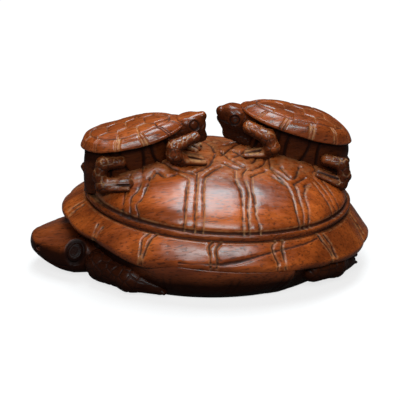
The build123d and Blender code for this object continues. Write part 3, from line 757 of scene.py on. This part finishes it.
def mother_head():
    """The big head: sections along it, a flat snout and jaw, brows, nostrils, a mouth line, dished eyes."""
    mid = HEAD_Z
    clay = Clay((SNOUT - 0.6, HEAD_Y - 8.6, -0.2), (-17.0, HEAD_Y + 8.6, 9.4), step=0.115)
    px, py, pz = (clay.p[..., i] for i in range(3))
    along = (px - SNOUT) / HEAD_LENGTH
    at = (-0.02, 0.0, 0.06, 0.14, 0.24, 0.40, 0.58, 0.80, 1.0, 1.4)
    wide = np.interp(along, at, (0.16, 0.24, 0.42, 0.56, 0.70, 0.89, 1.0, 0.99, 0.90, 0.80)) * HEAD_WIDTH / 2
    high = np.interp(along, at, (0.22, 0.32, 0.54, 0.70, 0.82, 0.95, 1.0, 0.98, 0.92, 0.85)) * HEAD_HEIGHT / 2
    lift = HEAD_HEIGHT * np.interp(along, (0, 0.24, 0.58), (0.07, 0.03, 0.0))
    squareness = 2.3
    across, upright = np.abs(py - HEAD_Y) / wide, np.abs(pz - mid - lift) / high
    form = (across**squareness + upright**squareness) ** (1 / squareness)
    clay.d = ((form - 1) * 0.85 * np.minimum(wide, high)).astype(np.float32)
    clay.cut(px - SNOUT + 0.2, 0.9)
    clay.cut(0.92 * (pz - 3.7 + 0.43 * (px - SNOUT)), 0.9)
    nostrils = [(SNOUT + 1.5, HEAD_Y + side * 3.6, mid + 0.75) for side in (-1, 1)]
    for side, nostril in zip((-1, 1), nostrils):
        clay.cut(clay.oval(nostril, (0.45, 0.6, 0.36)), 0.2)
        brow = unit(np.array([-BROW_SLOPE, BROW_FALL * side, 1.0])).astype(np.float32)
        clay.cut(-((clay.p - np.array([SNOUT + 1.07, HEAD_Y, BROW_HEIGHT], np.float32)) @ brow), 0.3)
        clay.add(clay.oval((SNOUT + 8.6, HEAD_Y + side * 5.7, mid + 1.4), (2.7, 1.8, 2.0)), 0.8)
    clay.cut(pz - 0.05, 0.3)
    verts, quads, normal = clay.mesh()

    cut = np.zeros(len(verts))
    lift = 0.07 * smooth_random(31, 5)(verts) + 0.02 * smooth_random(32, 1.3)(verts)
    # Painted shade: the head darkens towards its back under the shell, around the eye rings where it also
    # loses its shine, and where it turns away from above
    dull = 0.3 + 0.5 * rise(verts[:, 0], SNOUT + 5.5, 4)
    for node in ("mother_left_eye", "mother_right_eye"):
        centre, outward = eye(node, np.array([SNOUT + 8, HEAD_Y, mid]), **MOTHER_EYE)
        apart = from_eye(verts, centre, outward, MOTHER_EYE["tall"])
        lift -= 0.55 * groove(np.maximum(apart - 1.5, 0), 0.28)
        cut = np.maximum(cut, groove(apart - 1.58, 0.30))
        dull = np.maximum(dull, 0.9 * groove(np.maximum(apart - 1.6, 0), 0.6))
    for side, nostril in zip((-1, 1), nostrils):
        mouth = [(SNOUT - 0.2, HEAD_Y, mid - 0.7), (SNOUT + 1.2, HEAD_Y + side * 3.6, mid - 0.9),
                 (SNOUT + 3.4, HEAD_Y + side * 5.6, mid - 1.3), (SNOUT + 6.4, HEAD_Y + side * 7.4, mid - 1.5)]
        lips = groove(line_distance(verts, snap(curve(mouth), verts)), 0.20)
        lift -= 0.25 * lips
        cut = np.maximum.reduce([cut, lips, groove(np.linalg.norm(verts - nostril, axis=1), 0.7)])
    piece("mother_head", raised(verts, normal, lift), quads, "body_wood", cut=cut,
          hollow=np.maximum(fall(normal[:, 2], 0.80, 0.6), dull))


def mother_leg(name, points, radii, side, seed, toes=4):
    """A leg through points, with scales down to a paw of several toes."""
    p = [np.array(q, float) * (1, side, 1) for q in points]
    low = np.min(p, axis=0) - max(radii) - CLAY_ROOM
    high = np.max(p, axis=0) + max(radii) + CLAY_ROOM
    low[2] = -0.3
    clay = Clay(low, high, step=0.105)
    clay.chain(p, radii, 0.9)
    foot, thick = p[-1], radii[-1]
    along = unit(foot - p[-2])
    across = unit(np.cross(along, [0, 0, 1]))
    upward = np.cross(across, along)

    def spot(spread, ahead, aside, up):
        """A point of the paw, from its foot in shares of its thickness."""
        return foot + along * thick * ahead + across * spread * thick * aside + upward * thick * up

    for i in range(toes):
        spread = (i - (toes - 1) / 2) / toes
        root, tip = spot(spread, -1.2, 1.7, 0.1), spot(spread, 0.8, 2.0, -0.25)
        clay.add(clay.limb(root, tip, thick * 0.42, thick * 0.26), 0.16)
    for i in range(toes + 1):
        spread = (i - toes / 2) / toes
        clay.cut(clay.limb(spot(spread, -1.9, 1.6, 0.95), spot(spread, 1.0, 2.3, 0.25), 0.10, 0.16), 0.18)
    clay.cut(clay.p[..., 2] - 0.06, 0.2)
    verts, quads, normal = clay.mesh()
    where = rise(np.linalg.norm(verts - foot, axis=1), 1.8 * thick, 1.5)
    net = scales(verts, seed, 1.35, where)
    lift = 0.06 * smooth_random(seed, 3)(verts) - 0.10 * net
    # Painted shade: the legs are nearly black, more so away from the paw and where they turn away from above
    piece(name, raised(verts, normal, lift), quads, "body_wood", cut=0.75 * net,
          hollow=0.86 + 0.12 * (1 - where) + shade_turned_down(normal, 0.14))


def mother_limbs():
    for side_name, side in (("left", -1), ("right", 1)):
        mother_leg(f"mother_{side_name}_foreleg",
                   [(-19.4, 9.5, 3.9), (-14.4, 13.6, 3.3), (-9.2, 15.1, 2.2)], [3.0, 2.5, 1.5], side, seed=41)
        mother_leg(f"mother_{side_name}_hind_leg",
                   [(17.6, 12.0, 4.2), (21.4, 9.2, 3.6), (24.3, 5.2, 2.7)], [2.35, 2.1, 1.25], side, seed=45)
    clay = Clay((19.5, -3.6, 0.4), (27.5, 1.8, 5.4), step=0.09)
    clay.chain([(21.0, 0, 2.9), (23.6, -0.8, 2.6), (25.6, -1.7, 2.2)], (1.6, 1.05, 0.45), 0.3)
    verts, quads, normal = clay.mesh()
    net = scales(verts, 47, 0.9, np.ones(len(verts)))
    # Painted shade: the tail is dark, more so where it turns away from above
    piece("mother_tail", raised(verts, normal, -0.08 * net), quads, "body_wood", cut=0.7 * net,
          hollow=0.6 + shade_turned_down(normal, 0.4))


# Young turtles

class Young:
    """A young turtle, with x towards its nose, z up and the underside of its shell at z 0.

    Each size in YOUNG becomes a value of the same name.
    """

    def __init__(self, name, sizes):
        self.name = name
        vars(self).update(sizes)
        way = turn("z", self.heading) @ turn("y", -self.nose_up) @ turn("x", self.roll)
        top = np.array([*self.seat, dome_height(*self.seat)])
        self.on_shell = shift(*(top + way[:3, 2] * self.stand)) @ way
        self.at = shell_at @ self.on_shell
        self.front = self.length / 2 - YOUNG_FRONT_INSET
        self.back = -self.length / 2 + YOUNG_BACK_INSET
        self.half, self.middle = (self.front - self.back) / 2, (self.front + self.back) / 2
        self.side = self.width / 2 - YOUNG_SIDE_INSET
        self.nose = self.length / 2 + YOUNG_HEAD_REACH

    def footprint(self, points):
        """1 around the foot of the body on the big shell, less inside."""
        x, y, _ = put(np.linalg.inv(self.on_shell), points).T
        return np.hypot((x - self.middle + YOUNG_LEAN) / self.half, y / (0.92 * self.side))

    def on_dome(self, point):
        """The point moved onto the big dome, towards or away from the dome's middle."""
        p = put(self.on_shell, point)
        p = p / math.sqrt((p[0] / DOME_A) ** 2 + (p[1] / DOME_B) ** 2 + (p[2] / DOME_H) ** 2)
        return put(np.linalg.inv(self.on_shell), p)

    def outward(self, point):
        """The big dome's outward direction at a point."""
        p = put(self.on_shell, point) / np.square([DOME_A, DOME_B, DOME_H])
        return unit(p @ self.on_shell[:3, :3])

    def section(self, rim, turn_at):
        """Half sections of the shell: plate and steep edge band, then lip and underside."""
        fall_off, band_low = 0.33, 1.0
        turn_z = self.rise - fall_off
        t = np.linspace(0, 1, 160)
        plate = np.stack([turn_at * t, self.rise - fall_off * t**2], -1)
        band = np.stack([turn_at + (rim - 0.06 - turn_at) * t, turn_z - (turn_z + band_low) * t], -1)
        band += 0.30 * np.sin(math.pi * t)[:, None] * unit(np.array([[turn_z + band_low, 2.4]]))
        dome = even(np.vstack([plate, band[1:]]), 0.05)
        lip = arc(rim - YOUNG_LIP, -YOUNG_DROP + YOUNG_LIP, YOUNG_LIP, -5, -90)
        under = [(rim - 1.6, -YOUNG_DROP + 0.05), (rim - 3.2, -YOUNG_DROP + 0.1)]
        return dome, np.vstack([even(np.vstack([dome[-1:], lip]), 0.11), under])

    def plate_lines(self, a, b, inner):
        """Lines between plates, seen from above: zigzags beside the middle row, lines out and across."""
        knees, waists = (-0.62, -0.24, 0.14, 0.50), (-0.80, -0.43, -0.05, 0.32, 0.70)
        end_waist, waist, knee, lean = 0.20, 0.24, 0.36, 1.06
        lines = []
        for way in (-1, 1):
            path = [(inner * -1.0, 0.0)]
            for i, at in enumerate(waists):
                path.append((at, way * (end_waist if i in (0, 4) else waist)))
                path += [(out, way * knee) for out in knees[i:i + 1]]
            path.append((inner, 0.0))
            lines.append(np.array([(p * a, q * b, 0) for p, q in path]))
            for at in knees:
                end = math.sqrt(max(inner**2 - (at * lean) ** 2, 0.01))
                halfway = (at * 1.03 * a, way * (knee + end) / 2 * b, 0)
                lines.append(curve([(at * a, way * knee * b, 0), halfway, (at * lean * a, way * end * b, 0)]))
        return lines + [np.array([(at * a, -waist * b, 0), (at * a, waist * b, 0)]) for at in waists[1:-1]]

    def carapace(self):
        """The shell: a plate with cut lines, ringed by a band of small plates."""
        a = self.length / 2 - YOUNG_FLARE
        ratio = self.width / self.length
        b = a * ratio
        rim = a + YOUNG_FLARE
        turn_at = rim - 2.45
        inner = turn_at / a
        verts, normal, quads, _, last = shell_grid(*self.section(rim, turn_at), ratio, YOUNG_CELLS)
        x, y, z = verts.T
        u, v = x / a, y / b
        edge = np.hypot(u, v)
        wave = smooth_random(self.seed, 2.2)(verts) * 0.10

        # Cut lines between plates, pairs of spokes across the band, and the band's inner edge
        net = nearest(np.stack([x, y, 0 * x], -1), self.plate_lines(a, b, inner))
        net = np.where(edge < inner + 0.03, net, FAR)
        band = np.abs(edge - inner) * b * 1.15
        turns = np.degrees(np.arctan2(v, u))
        pairs = [at + off for at in range(12, 360, 30) for off in (-2, 2)]
        spokes = np.min([angle_gap(turns, at) for at in pairs], axis=0)
        on_band = (edge > inner) & (z > -YOUNG_DROP + 0.15)
        spokes = np.where(on_band, np.radians(spokes) * np.hypot(x, y), FAR)
        lines = np.maximum(self.engraved * groove(net + 0.5 * wave, YOUNG_CUT_WIDTH),
                           groove(spokes + 0.3 * wave, YOUNG_SPOKE_WIDTH))
        edged = 0.8 * groove(band + 0.5 * wave, YOUNG_CUT_WIDTH)
        pillow = 0.10 * np.tanh(np.minimum(np.minimum(net, band), 3) / 0.6)
        lift = pillow - YOUNG_CUT * np.maximum(lines, edged)
        lift += 0.05 * smooth_random(self.seed + 1, 4)(verts)
        pale = np.clip(0.62 + 0.8 * smooth_random(self.seed + 9, 7)(verts), 0, 1)
        out = raised(verts, normal, lift)
        # The plate is arched from neck to tail, droops at the neck and swells towards the tail
        out[:, 2] += 0.20 * np.clip(1 - (u / 0.9) ** 2, 0, 1) * np.clip(1.1 - edge, 0, 1)
        at, width, amount = self.swell
        out[:, 2] += amount * groove(u - at, width) * rise(z, -1.0, 1.0)
        out[:, 2] -= 0.75 * rise(u, 0.35, 0.7) ** 1.5 * (z > -0.9)
        # The rim rises and draws in towards the tail
        rim_part = rise(edge, 0.84, 0.08) * fall(z, 0.2, 1.2)
        out[:, 2] += self.rim_up * fall(u, 0.35, 1.2) * rim_part
        out[:, 0] += 0.85 * self.rim_up * rise(-u, 0.3, 0.7) ** 2
        # Painted shade on the underside of the shell
        piece(f"{self.name}_carapace", put(self.at @ shift(0, 0, YOUNG_DROP), out), quads, "young_wood",
              [tuple(last[::-1])], cut=np.maximum(edged, lines * (1 - pale)), worn=0.8 * lines * pale,
              hollow=0.95 * (z < -YOUNG_DROP + 0.12))

    def body(self):
        """The body under the shell: rings down to the big dome, with a few upright cuts."""
        columns, rows = 300, 46
        t = np.linspace(0, 2 * math.pi, columns, endpoint=False)
        downs = [-0.04 + 1.5 * row / rows for row in range(rows + 1)]
        verts = []
        for down in downs:
            side = np.interp(down, (0, 0.25, 1.0, 2.4), (0.96, 0.92, 0.90, 0.95)) * self.side
            centre = self.middle - down * YOUNG_LEAN - self.back_by / 2
            px = centre + (self.half + self.back_by / 2) * np.cos(t)
            verts.append(np.stack([px, side * np.sin(t), np.full(columns, -down * self.stand)], -1))
        verts, down_at = np.vstack(verts), np.repeat(downs, columns)
        ids = np.arange(columns * (rows + 1)).reshape(rows + 1, columns)
        quads = ring_quads(ids)
        normal = normals_of(verts, quads)
        cut = np.zeros(len(verts))
        for at in (-5.2, -2.4, 0.6, 3.2, 5.4):
            bow = at + 0.5 * np.sin(3 * down_at + at)
            cut = np.maximum(cut, groove(verts[:, 0] - bow, 0.24))
        under_rim = groove(verts[:, 2], 1.2)
        lift = 0.08 * smooth_random(self.seed + 5, 3)(verts) - 0.30 * cut - 0.25 * under_rim
        # What would lie inside the big shell is drawn up under its skin
        local = put(self.on_shell, raised(verts, normal, lift))
        local[:, 2] = np.maximum(local[:, 2], dome_height(local[:, 0], local[:, 1], 0.88))
        # Painted shade: the body is nearly black, darkest just under the shell's rim and in its cuts
        piece(f"{self.name}_body", put(shell_at, local), quads, "young_wood",
              [tuple(ids[0]), tuple(ids[-1][::-1])],
              cut=cut, hollow=np.clip(0.84 + 0.4 * under_rim + 0.4 * cut, 0, 1))

    def head(self):
        """The head: skull, snout and chin on a thick neck, with brows, nostrils, ringed eyes and a mouth."""
        nose, z0 = self.nose, -self.head_drop
        up = z0 + self.snout_up
        chin = np.array([nose + self.chin[0], 0, z0 + self.chin[1]])
        clay = Clay((self.front - 1.4, -2.9, z0 - 4.2), (nose + 0.6, 2.9, z0 + 2.9), step=0.065)
        clay.add(clay.oval((nose - 3.3, 0, z0 + 0.2), (2.8, 2.15, 2.5)), 0.1)
        clay.add(clay.limb((nose - 3.1, 0, z0 + 0.9), (nose - 0.55, 0, up), 1.5, 0.86), 0.4)
        clay.add(clay.oval((nose - 1.5, 0, 0.5 * (up + z0) - 0.6), (1.35, 1.30, 1.5)), 0.5)
        clay.add(clay.limb((nose - 1.4, 0, z0 - 0.8), chin, 0.9, 0.85), 0.4)
        clay.add(clay.limb((nose - 4.4, 0, z0 - 1.3), chin, 1.8, 0.95), 0.5)
        clay.add(clay.limb((self.front - 0.6, 0, chin[2]), chin, 1.6, 0.95), 0.5)
        clay.add(clay.limb((nose - 4.2, 0, z0 - 0.5), (self.front - 1.0, 0, z0 - 1.2), 2.0, 1.9), 0.5)
        clay.add(clay.limb((nose - 4.0, 0, z0), (self.front - 1.4, 0, z0 - 0.3), 1.8, 1.7), 0.6)
        crown = clay.p[..., 2] - z0 - 2.1 + 0.08 * (clay.p[..., 0] - nose + 2)
        clay.cut(-crown, 0.2)
        for way in (-1, 1):
            brow = (nose - 3.7, way * 1.3, z0 + 1.35), (nose - 1.5, way * 0.8, up + 0.15)
            clay.add(clay.limb(*brow, 0.45, 0.30), 0.35)
            clay.cut(clay.oval((nose - 0.25, way * 0.5, up + 0.1), (0.22, 0.2, 0.2)), 0.1)
        verts, quads, normal = clay.mesh()

        cut = np.zeros(len(verts))
        lift = 0.03 * smooth_random(self.seed + 2, 1.6)(verts)
        placed = put(self.at, verts)
        inside = put(self.at, [(nose - 2.4, 0, z0)])[0]
        for way in ("left", "right"):
            apart = from_eye(placed, *eye(f"{self.name}_{way}_eye", inside, **YOUNG_EYE))
            ring, lid = groove(apart - 0.84, 0.15), groove(apart - 1.10, 0.18)
            lift += 0.14 * lid - 0.28 * ring
            cut = np.maximum(cut, ring)
        for way in (-1, 1):
            mouth = [(nose - 0.2, 0, up - 1.0), (nose - 0.8, way * 0.9, up - 1.3),
                     (nose - 1.8, way * 1.4, z0 - 0.9), (nose - 3.1, way * 1.9, z0 - 0.9)]
            lips = groove(line_distance(verts, snap(curve(mouth), verts)), 0.13)
            lift -= 0.20 * lips
            cut = np.maximum(cut, lips)
        net = scales(verts, self.seed + 3, 0.62, fall(verts[:, 0], nose - 3.9, 0.8))
        lift -= 0.07 * net
        # Painted shade: the head darkens towards its underside and where it turns away from above
        below = 0.95 * fall(verts[:, 2], z0 + 0.7, 1.6)
        beside = 0.8 * fall(normal[:, 2], 0.8, 0.6)
        piece(f"{self.name}_head", put(self.at, raised(verts, normal, lift)), quads, "young_wood",
              cut=np.maximum(cut, 0.8 * net), hollow=np.maximum(below, beside))

    def leg(self, name, path, radii, seed, shade, paw_wear):
        """A leg along path, with scales above a paw of four toes that lies on the big dome."""
        room = YOUNG_LEG_ROOM
        clay = Clay(path.min(0) - room - CLAY_ROOM, path.max(0) + room + CLAY_ROOM, step=0.075)
        clay.chain(path, radii, 0.45)
        toe_gap = 0.96
        foot, toe = path[-2], path[-1]
        along = unit(toe - foot)
        dome_out = self.outward(toe)
        across = unit(np.cross(along, dome_out))
        for i in range(4):
            spread = across * (i - 1.5) * toe_gap
            root, tip = foot + along * 0.4 + spread * 0.6, toe + along * 0.1 + spread
            clay.add(clay.limb(root, tip, 0.62, 0.48), 0.14)
        clefts = []
        for i in range(3):
            spread = across * (i - 1) * toe_gap
            clefts.append(np.array([foot + along * 0.5 + spread * 0.6 + dome_out * 0.85,
                                    toe + along * 0.7 + spread * 1.05 + dome_out * 0.44]))
            clay.cut(clay.limb(*clefts[-1], 0.12, 0.22), 0.10)
        verts, quads, normal = clay.mesh()
        cleft = groove(np.maximum(nearest(verts, clefts) - 0.15, 0), 0.14)
        where = rise(np.linalg.norm(verts - toe, axis=1), 3.4, 0.9)
        net = scales(verts, seed, 0.95, where)
        lift = 0.03 * smooth_random(seed, 1.5)(verts) - 0.10 * net
        facing = normal @ self.at[:3, :3].T
        lit = np.clip(facing[:, 2] * 1.4, 0, 1)
        # Painted light and shade: scale cuts fade and pale wear shows on faces turned up; painted shade on
        # faces turned down and on the hind legs
        piece(f"{self.name}_{name}", put(self.at, raised(verts, normal, lift)), quads, "young_wood",
              cut=np.maximum(cleft, 0.9 * net * (1 - 0.7 * lit)),
              worn=(0.7 * net + paw_wear * (1 - where) * (1 - cleft)) * lit,
              hollow=np.maximum(shade_turned_down(facing, 0.9), shade * (0.5 + 0.5 * where)))

    def legs(self):
        # Name, path, radii, seed, painted shade and wear of the paw
        limbs = (("foreleg", self.arm, self.arm_radii, 10, 0.1, 0.9),
                 ("hind_leg", self.thigh, self.thigh_radii, 20, 0.75, 0.2))
        for way_name, way in (("left", 1), ("right", -1)):
            for name, path, radii, seed, shade, wear in limbs:
                path = np.array(path) * (1, way, 1)
                toe = self.on_dome(path[-1])
                path[-1] = toe + self.outward(toe) * 0.40
                self.leg(f"{way_name}_{name}", path, radii, self.seed + seed + way, shade, wear)

    def tail(self):
        x0, z0 = self.back - 0.25 - self.back_by, -0.5 * self.stand
        clay = Clay((x0 - 2.0, -1.2, z0 - 2.4), (x0 + 1.8, 1.2, z0 + 1.6), step=0.06)
        clay.chain([(x0 + 0.7, 0, z0 + 0.5), (x0 - 0.3, 0.1, z0 - 0.4), (x0 - 0.5, 0.3, z0 - 1.5)],
                   (0.7, 0.62, 0.35), 0.3)
        verts, quads, normal = clay.mesh()
        net = scales(verts, self.seed + 30, 0.5, np.ones(len(verts)))
        # Painted shade: the tail under the shell is dark
        piece(f"{self.name}_tail", put(self.at, raised(verts, normal, -0.06 * net)), quads, "young_wood",
              cut=0.8 * net, hollow=np.full(len(verts), 0.8))

    def make(self):
        self.carapace()
        self.body()
        self.head()
        self.legs()
        self.tail()


pair = [Young(name, sizes) for name, sizes in YOUNG.items()]
mother_shell(pair)
belly()
mother_head()
mother_limbs()
for one in pair:
    one.make()
for node in ("shell_dowels", "front_young_dowels", "rear_young_dowels"):
    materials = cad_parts[node].data.materials
    materials.clear()
    materials.append(SLOT_WOOD["dowel_wood"])


# Studio in metres: pale floor, a long softbox overhead, a smaller one in front, a soft fill

WHITE = (1, 1, 1, 1)


def floor(half=3.0):
    """A floor that the camera sees as nearly white, and that throws little light back."""
    n = Nodes(bpy.data.materials.new("floor"), "Principled BSDF")
    seen = n.seen()
    fine = n.add("TexNoise", {"Scale": 900.0, "Detail": 2.0}).outputs["Fac"]
    white = n.ramp(fine, [(0.3, grey(0.97)), (0.7, grey(1.0))])
    n.feed(n.shader, {
        "Base Color": n.mix(seen, grey(0.08), n.mix(1.0, white, grey(0.27), "MULTIPLY")),
        "Emission Color": WHITE,
        "Emission Strength": n.maths("MULTIPLY", seen, 0.76),
        "Roughness": 0.9,
        "Specular IOR Level": 0.0,
    })
    mesh = bpy.data.meshes.new("floor")
    corners = [(-half, -half, 0), (half, -half, 0), (half, half, 0), (-half, half, 0)]
    mesh.from_pydata(corners, [], [(0, 1, 2, 3)])
    made = bpy.data.objects.new("floor", mesh)
    bpy.context.scene.collection.objects.link(made)
    mesh.materials.append(n.owner)


def aimed(made, place, target):
    """Puts a lamp or camera at place, facing target."""
    made.location = place
    made.rotation_euler = (Vector(target) - Vector(place)).to_track_quat("-Z", "Y").to_euler()
    bpy.context.scene.collection.objects.link(made)


def softbox(name, place, target, size, watts, colour):
    lamp = bpy.data.lights.new(name, "AREA")
    lamp.shape = "RECTANGLE"
    lamp.size, lamp.size_y = size
    lamp.energy, lamp.color = watts, colour
    aimed(bpy.data.objects.new(name, lamp), place, target)


def fill():
    """White behind the carving, but only a faint light on it."""
    world = bpy.data.worlds.new("studio")
    bpy.context.scene.world = world
    n = Nodes(world, "Background")
    strength = n.add("MapRange", {"Value": n.seen(), "To Min": 0.025, "To Max": 1.0}).outputs["Result"]
    n.feed(n.shader, {"Color": WHITE, "Strength": strength})


def long_lens(above=24, reach=0.55, seen_width=0.0712, sensor=36.0):
    """A long lens, above the carving's left side by some degrees, that takes in seen_width metres."""
    view = bpy.data.cameras.new("camera")
    view.sensor_width, view.lens, view.clip_start = sensor, sensor * reach / seen_width, 0.01
    aim, tilt = Vector((-0.00214, 0.0, 0.01208)), math.radians(above)
    camera = bpy.data.objects.new("camera", view)
    aimed(camera, aim + Vector((0, -math.cos(tilt), math.sin(tilt))) * reach, aim)
    bpy.context.scene.camera = camera


floor()
softbox("overhead", (0.02, 0.06, 0.56), (0, 0, 0.02), (0.23, 0.54), 3.5, (0.88, 0.96, 1.0))
softbox("front", (0.02, -0.60, 0.44), (0, 0, 0.012), (0.56, 0.15), 2.8, (1.0, 0.98, 0.97))
fill()
long_lens()
bpy.context.scene.view_settings.view_transform = "Standard"
